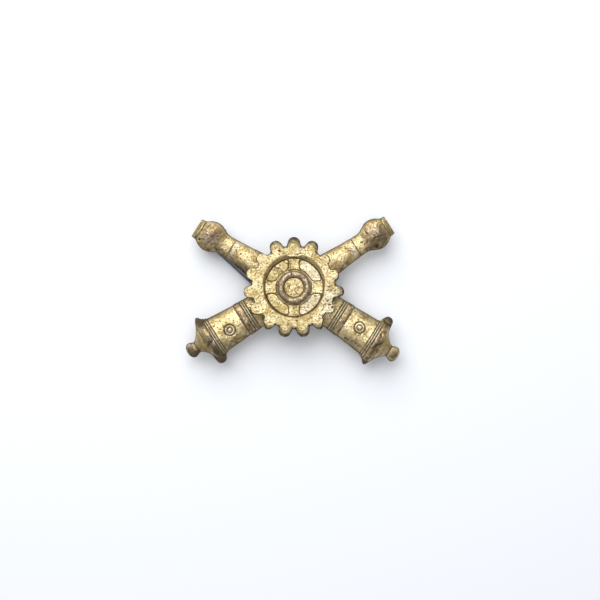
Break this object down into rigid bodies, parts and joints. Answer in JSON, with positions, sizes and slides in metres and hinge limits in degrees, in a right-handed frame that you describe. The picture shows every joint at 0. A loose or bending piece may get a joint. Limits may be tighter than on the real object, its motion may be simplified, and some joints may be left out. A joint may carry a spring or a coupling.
{
  "type": "cap badge",
  "caption": "Gilt cap badge of crossed cannons under a cogwheel, with a steel brooch pin on a hinge and a safety catch behind.",
  "frame": {"origin": "under the middle of the badge's outline, on the surface that it lies on", "axes": "+X along the badge's width, +Y up the badge towards the muzzles, +Z out of its face"},
  "size_m": [0.0418, 0.0288, 0.0079],
  "materials": {
    "cannon_gilt": "worn gilt, brown tombak on the high places, pitted",
    "wheel_gilt": "worn gilt with dark creases and small pits",
    "rivet_tombak": "gilt worn through to brown tombak",
    "plain_brass": "dull ungilt sheet brass",
    "fitting_brass": "dull brass with grey solder at its foot",
    "roller_brass": "dull brass, rubbed bright on the tab",
    "hinge_steel": "dark oxidised steel",
    "pin_steel": "dark oxidised steel, drawn lengthwise"
  },
  "bodies": {
    "badge": {"through_cannon": "cannon_gilt", "cross_breech": "cannon_gilt", "cross_muzzle": "cannon_gilt", "cogwheel": "wheel_gilt", "hub_rivet": "rivet_tombak", "back_plate": "plain_brass", "hinge_plate": "plain_brass", "hinge_bracket": "fitting_brass", "hinge_rivet": "hinge_steel", "catch_body": "fitting_brass"},
    "pin": {"brooch_pin": "pin_steel"},
    "roller": {"catch_roller": "roller_brass"}
  },
  "joints": [
    {"name": "pin_hinge", "type": "hinge", "parent": "badge", "child": "pin", "pos_m": [-0.01693, 0.00985, 0.00131], "axis": [0.6759, 0.737, 0], "range_deg": [0, 80]},
    {"name": "roller_turn", "type": "hinge", "parent": "badge", "child": "roller", "pos_m": [-0.00094, -0.00481, 0.00131], "axis": [0.737, -0.6759, 0], "range_deg": [0, 90]}
  ]
}
